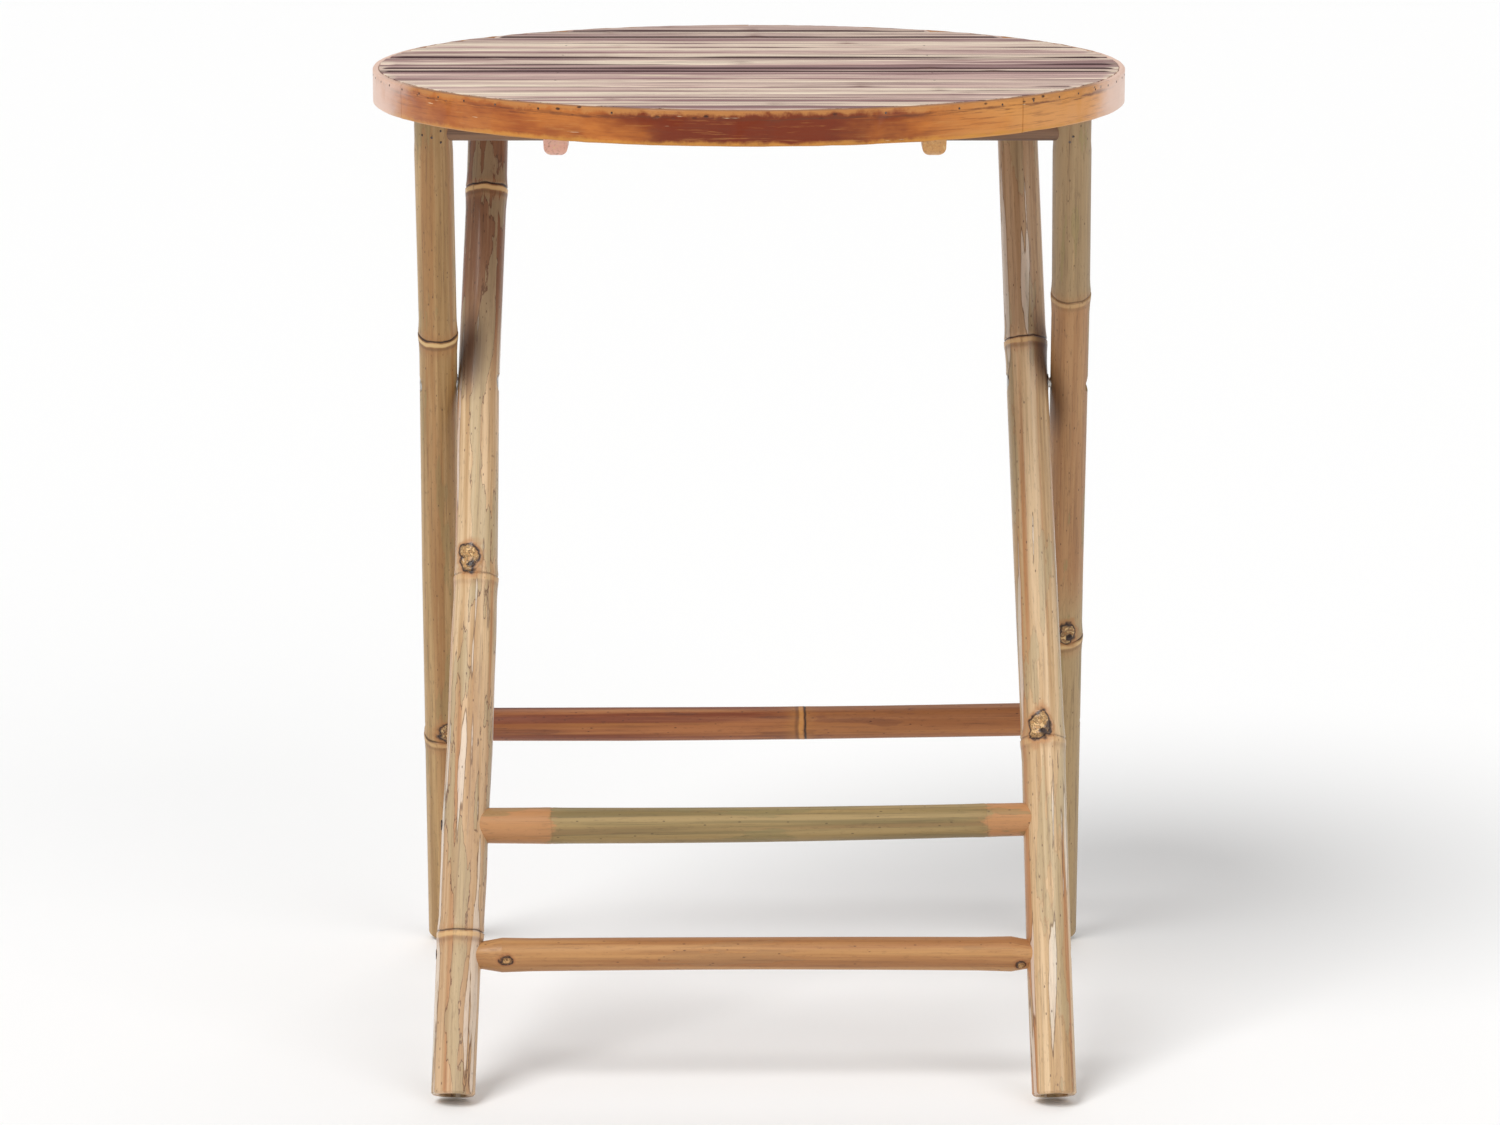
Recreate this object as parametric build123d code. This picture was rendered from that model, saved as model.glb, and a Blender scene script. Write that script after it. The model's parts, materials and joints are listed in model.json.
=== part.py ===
from build123d import *
import os
from math import atan2, cos, degrees, pi, sin, sqrt

# A round bamboo folding table, in millimetres. +Z is up, +Y points to the back, and the
# origin is on the floor under the middle of the top. Two crossed leg frames turn on a pair
# of pivot screws. The top turns on the outer frame's top rail, and its two bearers hook
# over the inner frame's top rail.

# ---- driving dimensions: top ----
table_height = 764.0
top_radius = 290.0
rim_height = 26.5
rim_thickness = 5.0
rim_drop = 0.4  # the rim's upper edge sits this far below the slats
rim_seam_gap = 0.6
rim_seam_bearings = (-46.0, 90.0, 206.0)  # degrees from +X round to +Y
slat_count = 24
slat_thickness = 8.5
slat_gap = 1.2
slat_edge_chamfer = 0.8
slat_end_clearance = 0.3
bearer_width = 18.0
bearer_depth = 16.5
bearer_x = {"left": -145.5, "right": 139.7}

# ---- driving dimensions: leg frames ----
pivot_z = 514.9
foot_y = 232.0
frame_offset = 3.0  # both frames sit this far to the right of the top's middle
spread_reference_z = 737.1
outer_half_width_top = 241.1
outer_half_width_floor = 257.2
inner_half_width_top = 207.9
inner_half_width_floor = 228.1
outer_leg_diameter_top = 29.6
outer_leg_diameter_floor = 29.0
inner_leg_diameter_top = 31.4
inner_leg_diameter_floor = 34.6
culm_wall = 5.5
diaphragm = 4.0
foot_ease = 1.5  # chamfer round the square-cut end of each foot
node_swell = 0.5
node_half_length = 5.0
node_crest_half_length = 1.5

# ---- driving dimensions: rails and stretchers ----
rail_z = 726.7
rail_diameter = 19.4
rail_running_clearance = 0.06
rail_tenon_past_axis = 7.0
outer_leg_past_rail = 18.0
inner_leg_past_rail = 13.0
lug_radius = 20.6
lug_corner_radius = 7.5
catch_clearance = 0.4
catch_wall = 9.0
stretcher_wall = 6.0
plug_reach = 36.0  # from the leg's axis to the plug's inner end
plug_clearance = 0.1

# ---- driving dimensions: fasteners ----
pivot_shank_radius = 3.0
pivot_sleeve_radius = 4.0
pivot_head_radius = 7.0
pivot_head_thickness = 2.0
pivot_recess_depth = 3.0
pivot_recess_clearance = 0.5
pivot_face_gap = 0.1
pivot_thread_reach = 4.0
pivot_running_clearance = 0.05
pivot_washer_radius = 6.5
pivot_washer_thickness = 0.4
screw_radius = 2.0
screw_head_radius = 4.0
screw_head_depth = 2.5
screw_into_plug = 26.0
slat_brad_radius = 0.9
slat_brad_length = 20.0
rim_brad_radius = 0.8
rim_brad_length = 14.0
rail_brad_radius = 1.0
rail_brad_length = 13.0
brad_margin = 9.0  # a brad this near a slat may still reach into it
brad_head_depth = 0.3  # brad heads are driven this far below the surface

# ---- worked-out places ----
slope = foot_y / pivot_z
lean = atan2(foot_y, pivot_z)
slat_underside = table_height - slat_thickness
bearer_underside = slat_underside - bearer_depth
rim_inner_radius = top_radius - rim_thickness
slat_radius = rim_inner_radius - slat_end_clearance
rim_top = table_height - rim_drop
rail_y = (rail_z - pivot_z) * slope
rail_radius = rail_diameter / 2
lug_underside = rail_z - lug_radius
beyond = 400.0  # longer than any piece that it trims
SIDES = {"left": -1, "right": 1}

# Heights of the nodes on each leg, as they grew.
outer_nodes = {"left": (199.0, 554.0), "right": (291.5, 591.5)}
inner_nodes = {"left": (120.0, 373.5, 658.5), "right": (256.5, 545.5)}

# Brads at each leg top: offset across the leg and offset up the leg.
outer_brads = {
    "left": ((-7.5, 1.0), (-0.5, 0.0), (6.0, 5.0), (6.0, -5.0)),
    "right": ((0.0, 1.0), (-2.5, -4.0)),
}
inner_brads = {
    "left": ((-3.0, 3.0), (3.0, -3.0)),
    "right": ((-3.0, -3.0), (3.0, 3.0)),
}

parts = {}


def half_width(top, floor, z):
    """Half the distance between a pair of legs at a height."""
    return top + (floor - top) * (spread_reference_z - z) / spread_reference_z


def outer_axis(side, z):
    """Point on an outer leg's axis: its top is at the front and its foot at the back."""
    half = half_width(outer_half_width_top, outer_half_width_floor, z)
    return Vector(side * half + frame_offset, -(z - pivot_z) * slope, z)


def inner_axis(side, z):
    """Point on an inner leg's axis: its top is at the back and its foot at the front."""
    half = half_width(inner_half_width_top, inner_half_width_floor, z)
    return Vector(side * half + frame_offset, (z - pivot_z) * slope, z)


def rod(start, end, radius):
    """Plain cylinder from one point to another."""
    reach = end - start
    upright = Cylinder(radius, reach.length, align=(Align.CENTER, Align.CENTER, Align.MIN))
    return Plane(origin=start, z_dir=reach) * upright


def cross_rod(y, z, radius):
    """Long cylinder along X through (y, z)."""
    return rod(Vector(-beyond, y, z), Vector(beyond, y, z), radius)


def block(low, high):
    """Box between two corners."""
    size = [b - a for a, b in zip(low, high)]
    centre = [(a + b) / 2 for a, b in zip(low, high)]
    return Pos(*centre) * Box(*size)


def culm_skin(start, end, radius_start, radius_end, nodes, ease=0):
    """Outside of a tapered culm with its start eased, and a low swelling at each distance in nodes."""
    length = (end - start).length

    def radius_at(s):
        return radius_start + (radius_end - radius_start) * s / length

    swellings = (
        (-node_half_length, 0),
        (-node_crest_half_length, node_swell),
        (node_crest_half_length, node_swell),
        (node_half_length, 0),
    )
    profile = [(0, 0), (radius_at(0) - ease, 0)]
    if ease:
        profile.append((radius_at(ease), ease))
    for s in sorted(nodes):
        profile += [(radius_at(s + offset) + swell, s + offset) for offset, swell in swellings]
    profile += [(radius_at(length), length), (0, length)]
    outline = Polyline(*[(x, 0, z) for x, z in profile], close=True)
    return Plane(origin=start, z_dir=end - start) * revolve(Face(Wire(outline)), Axis.Z)


def culm_bores(start, end, radius, nodes):
    """The hollow chambers between a culm's diaphragms, open at both ends of the culm."""
    length = (end - start).length
    along = (end - start).normalized()
    walls = [-diaphragm, *sorted(nodes), length + diaphragm]
    half = along * (diaphragm / 2)
    return [
        rod(start + along * low + half, start + along * high - half, radius)
        for low, high in zip(walls, walls[1:])
    ]


def cut(shape, tools):
    """Cuts every tool out of a shape."""
    for tool in tools:
        shape = shape - tool
    return shape


def add(name, shape):
    """Keeps a finished piece, or a group of identical pieces, under its node name."""
    pieces = shape if isinstance(shape, list) else [shape]
    solids = [solid for piece in pieces for solid in piece.solids()]
    parts[name] = solids[0] if len(solids) == 1 else Compound(children=solids)


# ---- tabletop ----
def slat_edges():
    """Front and back edge of each slat, in the uneven widths of hand-split bamboo."""
    shares = [1 + 0.16 * sin(2.4 * i) + 0.07 * cos(5.3 * i) for i in range(slat_count)]
    room = 2 * slat_radius - (slat_count - 1) * slat_gap
    y = -slat_radius
    edges = []
    for share in shares:
        width = room * share / sum(shares)
        edges.append((y, y + width))
        y += width + slat_gap
    return edges


def slat(front, back):
    """Flat strip with eased upper edges, its ends cut to the round of the top."""
    ease = slat_edge_chamfer
    outline = Polyline(
        (0, front, slat_underside),
        (0, back, slat_underside),
        (0, back, table_height - ease),
        (0, back - ease, table_height),
        (0, front + ease, table_height),
        (0, front, table_height - ease),
        close=True,
    )
    strip = extrude(Face(Wire(outline)), amount=top_radius, dir=(1, 0, 0), both=True)
    disc = Pos(0, 0, table_height - slat_thickness / 2) * Cylinder(slat_radius, 2 * slat_thickness)
    return strip & disc


def rim_strips():
    """The bent strips of the rim, between the butt seams."""
    middle = Pos(0, 0, rim_top - rim_height / 2)
    ring = middle * (Cylinder(top_radius, rim_height) - Cylinder(rim_inner_radius, rim_height))
    for bearing in rim_seam_bearings:
        gap = Pos(top_radius, 0, rim_top) * Box(4 * rim_thickness, rim_seam_gap, 3 * rim_height)
        ring = ring - Rot(0, 0, bearing) * gap
    return {
        "front": ring.solids().sort_by(Axis.Y)[0],
        "right": ring.solids().sort_by(Axis.X)[-1],
        "left": ring.solids().sort_by(Axis.X)[0],
    }


def bearer_reach(x):
    """Half the length of a bearer at that X that just fits inside the rim."""
    return sqrt(slat_radius**2 - (abs(x) + bearer_width / 2) ** 2)


def bearer_blank(x):
    """Side view of a bearer: a batten with a lug for each rail, the rear one hooked."""
    reach = bearer_reach(x)
    flank = 1.9 * lug_radius
    shoulder = 0.9 * lug_radius
    hook_back = rail_y + rail_radius + catch_clearance + catch_wall
    outline = Polyline(
        (0, -reach, slat_underside),
        (0, -reach, bearer_underside),
        (0, -rail_y - flank, bearer_underside),
        (0, -rail_y - shoulder, rail_z - lug_radius / 2),
        (0, -rail_y + shoulder, rail_z - lug_radius / 2),
        (0, -rail_y + flank, bearer_underside),
        (0, rail_y - flank, bearer_underside),
        (0, rail_y - shoulder, lug_underside),
        (0, hook_back, lug_underside),
        (0, hook_back + lug_radius, bearer_underside),
        (0, reach, bearer_underside),
        (0, reach, slat_underside),
        close=True,
    )
    return extrude(Face(Wire(outline)), amount=bearer_width / 2, dir=(1, 0, 0), both=True)


def catch_mouth():
    """Room for the inner rail: a half-round seat, an upright rear wall and a 45 degree ramp in front."""
    room = rail_radius + catch_clearance
    drop = rail_z - lug_underside + 1
    tangent = room * sin(pi / 4)
    outline = Polyline(
        (0, rail_y, rail_z),
        (0, rail_y + room, rail_z),
        (0, rail_y + room, rail_z - drop),
        (0, rail_y - tangent - drop - tangent, rail_z - drop),
        (0, rail_y - tangent, rail_z + tangent),
        close=True,
    )
    mouth = extrude(Face(Wire(outline)), amount=bearer_width, dir=(1, 0, 0), both=True)
    return mouth + rod(Vector(-bearer_width, rail_y, rail_z), Vector(bearer_width, rail_y, rail_z), room)


def bearer(x):
    """Bearer with a bore for the outer top rail, a catch for the inner one, and rounded lower corners."""
    half = bearer_width / 2
    boss = cross_rod(-rail_y, rail_z, lug_radius) & block((-half, -beyond, 0), (half, 0, 2 * beyond))
    board = bearer_blank(x) + boss
    section_height = slat_underside - lug_underside + lug_corner_radius
    section = Plane.XZ * Pos(0, lug_underside + section_height / 2) * RectangleRounded(
        bearer_width, section_height, lug_corner_radius
    )
    board = board & extrude(section, amount=top_radius, both=True)
    board = board - cross_rod(-rail_y, rail_z, rail_radius + rail_running_clearance) - catch_mouth()
    return Pos(x, 0, 0) * board


def slat_brads(x, edges):
    """A brad through each slat that crosses the bearer at that X."""
    brads = []
    head = table_height - brad_head_depth
    for front, back in edges:
        y = (front + back) / 2
        if abs(y) < bearer_reach(x) - 3 * slat_brad_radius:
            tip = Vector(x, y, head - slat_brad_length)
            brads.append(rod(tip, Vector(x, y, head), slat_brad_radius))
    return brads


def rim_brads(edges):
    """A brad through the rim into both ends of each slat."""
    brads = []
    z = table_height - slat_thickness / 2
    for front, back in edges:
        y = (front + back) / 2
        for side in SIDES.values():
            bearing = atan2(y, side * sqrt(top_radius**2 - y**2))
            outward = Vector(cos(bearing), sin(bearing), 0)
            head = outward * (top_radius - brad_head_depth) + Vector(0, 0, z)
            brads.append(rod(head - outward * rim_brad_length, head, rim_brad_radius))
    return brads


# ---- leg frames ----
def leg(axis, side, past_rail, diameter_top, diameter_floor, node_heights):
    """A leg's outside and its chambers, from past its top rail down to the floor."""
    along = (axis(side, rail_z) - axis(side, 0)).normalized()
    # The foot is cut square to the leg, and stands on the inner edge of its cut end.
    start_z = (diameter_floor / 2 - foot_ease) * sin(lean)
    start = axis(side, start_z)
    end = axis(side, rail_z) + along * past_rail
    nodes = [(axis(side, z) - start).length for z in node_heights]
    skin = culm_skin(start, end, diameter_floor / 2, diameter_top / 2, nodes, foot_ease)
    return skin, culm_bores(start, end, diameter_floor / 2 - culm_wall, nodes)


def stretcher(axis, z_left, z_right, diameter, node_shares, skins):
    """A stretcher with its ends coped to the legs, and the plugs in its hollow ends."""
    start = axis(SIDES["left"], z_left)
    end = axis(SIDES["right"], z_right)
    length = (end - start).length
    along = (end - start).normalized()
    nodes = [length * share for share in node_shares]
    bore = diameter / 2 - stretcher_wall
    body = culm_skin(start, end, diameter / 2, diameter / 2, nodes)
    body = cut(body, [*skins, *culm_bores(start, end, bore, nodes)])
    plugs = [rod(start, start + along * plug_reach, bore - plug_clearance)]
    plugs.append(rod(end - along * plug_reach, end, bore - plug_clearance))
    return body, [cut(plug, skins) for plug in plugs]


def end_screw(point, side, leg_diameter):
    """Screw through a leg into a stretcher's plug, and the recess that its head sits in."""
    outward = Vector(side, 0, 0)
    seat = point + outward * (leg_diameter / 2 - screw_head_depth - 1)
    head = rod(seat, seat + outward * screw_head_depth, screw_head_radius)
    screw = rod(point - outward * screw_into_plug, seat, screw_radius) + head
    recess = rod(seat, seat + outward * leg_diameter, screw_head_radius)
    return screw, screw + recess


def rail(axis):
    """Round top rail, tenoned into both legs past their axes."""
    past = Vector(rail_tenon_past_axis, 0, 0)
    return rod(axis(-1, rail_z) - past, axis(1, rail_z) + past, rail_radius)


def leg_top_brads(axis, side, facing, leg_diameter, places):
    """Brads driven square to a leg's face, into the end of its top rail."""
    along = (axis(side, rail_z) - axis(side, 0)).normalized()
    normal = Vector(0, facing * cos(lean), -sin(lean))
    brads = []
    for across, up in places:
        depth = sqrt((leg_diameter / 2) ** 2 - across**2) - brad_head_depth
        head = axis(side, rail_z) + along * up + Vector(across, 0, 0) + normal * depth
        brads.append(rod(head - normal * rail_brad_length, head, rail_brad_radius))
    return brads


def pivot(side):
    """Pivot screw, its sleeve nut and the washer between the legs, with the holes that take them."""
    outer_x = abs(outer_axis(side, pivot_z).X)
    inner_x = abs(inner_axis(side, pivot_z).X)

    def disc(low, high, radius):
        return rod(Vector(side * low, 0, pivot_z), Vector(side * high, 0, pivot_z), radius)

    rise = pivot_z / rail_z
    outer_taper = outer_leg_diameter_top - outer_leg_diameter_floor
    inner_taper = inner_leg_diameter_top - inner_leg_diameter_floor
    outer_radius = (outer_leg_diameter_floor + outer_taper * rise) / 2
    inner_radius = (inner_leg_diameter_floor + inner_taper * rise) / 2
    screw_seat = outer_x + outer_radius - pivot_recess_depth
    nut_seat = inner_x - inner_radius + pivot_recess_depth
    contact = (outer_x - outer_radius + inner_x + inner_radius) / 2
    washer_low = contact - pivot_washer_thickness / 2
    washer_high = contact + pivot_washer_thickness / 2
    sleeve_end = outer_x - 2
    thread_start = nut_seat + pivot_thread_reach

    screw = disc(thread_start, screw_seat, pivot_shank_radius)
    screw = screw + disc(screw_seat, screw_seat + pivot_head_thickness, pivot_head_radius)
    nut = disc(nut_seat, sleeve_end, pivot_sleeve_radius)
    nut = nut + disc(nut_seat - pivot_head_thickness, nut_seat, pivot_head_radius)
    nut = nut - disc(thread_start, sleeve_end, pivot_shank_radius)
    washer = disc(washer_low, washer_high, pivot_washer_radius)
    washer = washer - disc(washer_low, washer_high, pivot_sleeve_radius)

    recess = pivot_head_radius + pivot_recess_clearance
    outer_tools = [
        disc(inner_x, sleeve_end, pivot_sleeve_radius),
        disc(inner_x, screw_seat, pivot_shank_radius),
        disc(screw_seat, screw_seat + beyond / 4, recess),
    ]
    inner_tools = [
        disc(nut_seat, outer_x, pivot_sleeve_radius + pivot_running_clearance),
        disc(nut_seat - beyond / 4, nut_seat + pivot_face_gap, recess),
    ]
    return screw, nut, washer, outer_tools, inner_tools


# ---- the top, with every brad let into what it holds ----
edges = slat_edges()
rim_brad_group = rim_brads(edges)
slat_brad_groups = {name: slat_brads(x, edges) for name, x in bearer_x.items()}
top_brads = [brad for group in slat_brad_groups.values() for brad in group]
for number, (front, back) in enumerate(edges, 1):
    reach = (front - brad_margin, back + brad_margin)
    near = [brad for brad in rim_brad_group + top_brads if reach[0] < brad.center().Y < reach[1]]
    add(f"slat_{number:02d}", cut(slat(front, back), near))
for name, strip in rim_strips().items():
    add(f"rim_strip_{name}", cut(strip, rim_brad_group))
for name, x in bearer_x.items():
    add(f"bearer_{name}", cut(bearer(x), slat_brad_groups[name]))
    add(f"slat_brads_{name}", slat_brad_groups[name])
add("rim_brads", rim_brad_group)

# ---- the leg frames ----
frames = {
    "outer": {
        "axis": outer_axis,
        "past_rail": outer_leg_past_rail,
        "diameters": (outer_leg_diameter_top, outer_leg_diameter_floor),
        "nodes": outer_nodes,
        "brads": outer_brads,
        "facing": -1,
        # Stretcher: height at the left leg, height at the right leg, diameter, places of its nodes.
        "stretchers": {"outer_stretcher": (205.9, 211.5, 27.0, (0.585,))},
    },
    "inner": {
        "axis": inner_axis,
        "past_rail": inner_leg_past_rail,
        "diameters": (inner_leg_diameter_top, inner_leg_diameter_floor),
        "nodes": inner_nodes,
        "brads": inner_brads,
        "facing": 1,
        "stretchers": {
            "inner_upper_stretcher": (195.4, 200.0, 26.5, (0.095, 0.9)),
            "inner_lower_stretcher": (104.3, 104.3, 25.2, (0.095, 0.9)),
        },
    },
}
pivots = {name: pivot(side) for name, side in SIDES.items()}
for frame_name, frame in frames.items():
    axis = frame["axis"]
    diameter_top, diameter_floor = frame["diameters"]
    legs = {
        name: leg(axis, side, frame["past_rail"], diameter_top, diameter_floor, frame["nodes"][name])
        for name, side in SIDES.items()
    }
    skins = [skin for skin, _ in legs.values()]
    top_rail = rail(axis)
    rail_brads = {
        name: leg_top_brads(axis, side, frame["facing"], diameter_top, frame["brads"][name])
        for name, side in SIDES.items()
    }
    all_rail_brads = [brad for group in rail_brads.values() for brad in group]
    leg_tools = {name: [top_rail, *rail_brads[name]] for name in SIDES}
    for node, (z_left, z_right, diameter, node_shares) in frame["stretchers"].items():
        body, plugs = stretcher(axis, z_left, z_right, diameter, node_shares, skins)
        pairs = [
            end_screw(axis(side, z), side, diameter_floor)
            for side, z in zip(SIDES.values(), (z_left, z_right))
        ]
        screws = [screw for screw, _ in pairs]
        for name, (_, hole) in zip(SIDES, pairs):
            leg_tools[name].append(hole)
        add(node, cut(body, screws))
        add(f"{node}_plugs", [plug - screw for plug, screw in zip(plugs, screws)])
        add(f"{node}_screws", screws)
    for name in SIDES:
        skin, bores = legs[name]
        pivot_tools = pivots[name][3 if frame_name == "outer" else 4]
        add(f"{frame_name}_leg_{name}", cut(skin, [*bores, *leg_tools[name], *pivot_tools]))
    add(f"{frame_name}_top_rail", cut(top_rail, all_rail_brads))
    add(f"{frame_name}_rail_brads", all_rail_brads)
for name, (screw, nut, washer, _, _) in pivots.items():
    add(f"pivot_screw_{name}", screw)
    add(f"pivot_nut_{name}", nut)
    add(f"pivot_washer_{name}", washer)

os.makedirs("parts", exist_ok=True)
for name, shape in parts.items():
    export_step(shape, f"parts/{name}.step")
print(len(parts), "nodes written")
print("angle between the leg frames", round(2 * degrees(lean), 2))
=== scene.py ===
import json
import math
import random

import bpy
from mathutils import Matrix, Vector

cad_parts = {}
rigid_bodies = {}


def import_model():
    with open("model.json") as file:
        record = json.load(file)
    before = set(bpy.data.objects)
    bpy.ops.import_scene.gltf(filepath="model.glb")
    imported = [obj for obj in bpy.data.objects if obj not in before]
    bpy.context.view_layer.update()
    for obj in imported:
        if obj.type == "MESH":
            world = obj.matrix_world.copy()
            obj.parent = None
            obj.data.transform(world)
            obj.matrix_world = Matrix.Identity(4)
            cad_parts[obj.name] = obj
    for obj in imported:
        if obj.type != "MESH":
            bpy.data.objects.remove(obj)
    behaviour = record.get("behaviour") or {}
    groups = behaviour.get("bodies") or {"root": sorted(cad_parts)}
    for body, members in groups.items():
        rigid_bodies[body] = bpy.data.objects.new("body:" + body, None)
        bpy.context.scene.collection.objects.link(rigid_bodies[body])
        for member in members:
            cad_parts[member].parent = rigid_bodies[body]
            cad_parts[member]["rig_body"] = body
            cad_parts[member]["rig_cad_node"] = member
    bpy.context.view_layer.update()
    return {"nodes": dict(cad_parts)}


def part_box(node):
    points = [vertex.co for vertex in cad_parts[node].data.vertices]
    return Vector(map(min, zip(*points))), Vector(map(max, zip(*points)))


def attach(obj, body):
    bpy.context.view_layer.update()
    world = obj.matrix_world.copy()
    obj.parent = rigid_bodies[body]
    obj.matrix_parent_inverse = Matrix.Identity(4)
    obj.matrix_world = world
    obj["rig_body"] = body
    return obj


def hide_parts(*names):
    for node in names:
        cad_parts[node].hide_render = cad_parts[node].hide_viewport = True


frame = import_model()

sides = {"left": -1, "right": 1}
print("frame loaded:", len(frame["nodes"]), "nodes")


def deselectAll():
    if bpy.context.mode != "OBJECT":
        bpy.ops.object.mode_set(mode="OBJECT")
    bpy.ops.object.select_all(action="DESELECT")


def pick(piece):
    deselectAll()
    piece.select_set(True)
    bpy.context.view_layer.objects.active = piece


def openMesh(piece, mode="FACE"):
    pick(piece)
    bpy.ops.object.mode_set(mode="EDIT")
    bpy.ops.mesh.select_mode(type=mode)
    bpy.ops.mesh.select_all(action="DESELECT")


def closeMesh():
    bpy.ops.object.mode_set(mode="OBJECT")


def selectWhere(piece, mode, test):
    # selects the faces, edges or vertices that pass the test, and says how many there are
    openMesh(piece, mode)
    closeMesh()
    parts = {"FACE": piece.data.polygons, "EDGE": piece.data.edges, "VERT": piece.data.vertices}[mode]
    found = 0
    for part in parts:
        part.select = bool(test(part))
        found += part.select
    bpy.ops.object.mode_set(mode="EDIT")
    return found


def applyModifier(piece, kind, **settings):
    pick(piece)
    modifier = piece.modifiers.new(kind.title(), kind)
    for key, value in settings.items():
        setattr(modifier, key, value)
    bpy.ops.object.modifier_apply(modifier=modifier.name)


def carve(piece, cutter, operation="DIFFERENCE", keepCutter=False):
    applyModifier(piece, "BOOLEAN", object=cutter, operation=operation, solver="EXACT")
    if not keepCutter:
        bpy.data.objects.remove(cutter)


def copyOf(piece, name):
    made = piece.copy()
    made.data = piece.data.copy()
    made.name = name
    bpy.context.scene.collection.objects.link(made)
    return made


def smooth(piece, degrees=35):
    pick(piece)
    bpy.ops.object.shade_smooth_by_angle(angle=math.radians(degrees))


def settle(piece, name, body, finish, slotName, *nodes):
    # names a finished piece, gives it its finish and lets it stand for its CAD nodes
    piece.name = name
    piece.data.name = name
    piece.data.materials.clear()
    piece.data.materials.append(finish)
    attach(piece, body)
    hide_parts(*nodes)


class Wire:
    # an output socket that arithmetic can be written on
    def __init__(self, finish, socket):
        self.finish = finish
        self.socket = socket

    def math(self, operation, *others):
        inputs = dict(enumerate((self, *others)))
        return self.finish.add("ShaderNodeMath", {"operation": operation}, inputs)

    def __add__(self, other):
        return self.math("ADD", other)

    def __sub__(self, other):
        return self.math("SUBTRACT", other)

    def __mul__(self, other):
        return self.math("MULTIPLY", other)

    def __rsub__(self, other):
        return self.math("MULTIPLY", -1.0) + other

    __radd__ = __add__
    __rmul__ = __mul__

    def rise(self, low, high):
        # 0 below low, 1 above high, with a soft step between them
        inputs = {"Value": self, "From Min": low, "From Max": high}
        return self.finish.add("ShaderNodeMapRange", {"interpolation_type": "SMOOTHSTEP"}, inputs)

    def ridge(self, centre, halfWidth):
        # 1 at centre, falling to 0 at halfWidth either side
        return 1 - (self - centre).math("ABSOLUTE").rise(0.0, halfWidth)


class Finish:
    def __init__(self, name):
        self.material = bpy.data.materials.new(name)
        self.material.use_nodes = True
        self.tree = self.material.node_tree
        self.tree.nodes.clear()

    def add(self, kind, settings=None, inputs=None, output=0):
        node = self.tree.nodes.new(kind)
        for key, value in (settings or {}).items():
            setattr(node, key, value)
        for key, value in (inputs or {}).items():
            if isinstance(value, Wire):
                self.tree.links.new(value.socket, node.inputs[key])
            else:
                node.inputs[key].default_value = value
        return Wire(self, node.outputs[output])

    def objectPlace(self):
        return self.add("ShaderNodeTexCoord", output="Object")

    def attribute(self, name, output="Vector"):
        return self.add("ShaderNodeAttribute", {"attribute_name": name}, output=output)

    def along(self, vector, axis):
        return self.add("ShaderNodeSeparateXYZ", {}, {0: vector}, axis)

    def stretch(self, vector, scale, shift=(0, 0, 0)):
        return self.add("ShaderNodeMapping", {}, {"Vector": vector, "Scale": scale, "Location": shift})

    def noise(self, vector, scale, detail=4.0, rough=0.6, shift=(0, 0, 0)):
        place = self.stretch(vector, scale, shift)
        return self.add("ShaderNodeTexNoise", {}, {"Vector": place, "Scale": 1.0, "Detail": detail, "Roughness": rough})

    def spots(self, vector, scale, size, shift=(0, 0, 0)):
        place = self.stretch(vector, scale, shift)
        far = self.add("ShaderNodeTexVoronoi", {}, {"Vector": place, "Scale": 1.0, "Randomness": 1.0}, "Distance")
        return 1 - far.rise(size * 0.5, size)

    def blend(self, factor, first, second):
        first, second = [c if isinstance(c, Wire) else (*c, 1.0) for c in (first, second)]
        settings = {"data_type": "RGBA", "clamp_factor": True}
        return self.add("ShaderNodeMix", settings, {0: factor, 6: first, 7: second}, 2)

    def distance(self, vector, point):
        return self.add("ShaderNodeVectorMath", {"operation": "DISTANCE"}, {0: vector, 1: point}, "Value")

    def bump(self, height, depth, strength=1.0):
        inputs = {"Height": height, "Distance": depth, "Strength": strength}
        return self.add("ShaderNodeBump", {}, inputs)

    def close(self, colour, rough, normal=None, metallic=0.0, coat=0.0, coatRough=0.15, shine=0.35):
        inputs = {
            "Base Color": colour if isinstance(colour, Wire) else (*colour, 1.0),
            "Roughness": rough,
            "Metallic": metallic,
            "Coat Weight": coat,
            "Coat Roughness": coatRough,
            "Specular IOR Level": shine,
        }
        if normal:
            inputs["Normal"] = normal
        shader = self.add("ShaderNodeBsdfPrincipled", {}, inputs)
        out = self.tree.nodes.new("ShaderNodeOutputMaterial")
        self.tree.links.new(shader.socket, out.inputs["Surface"])
        return self.material


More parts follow.
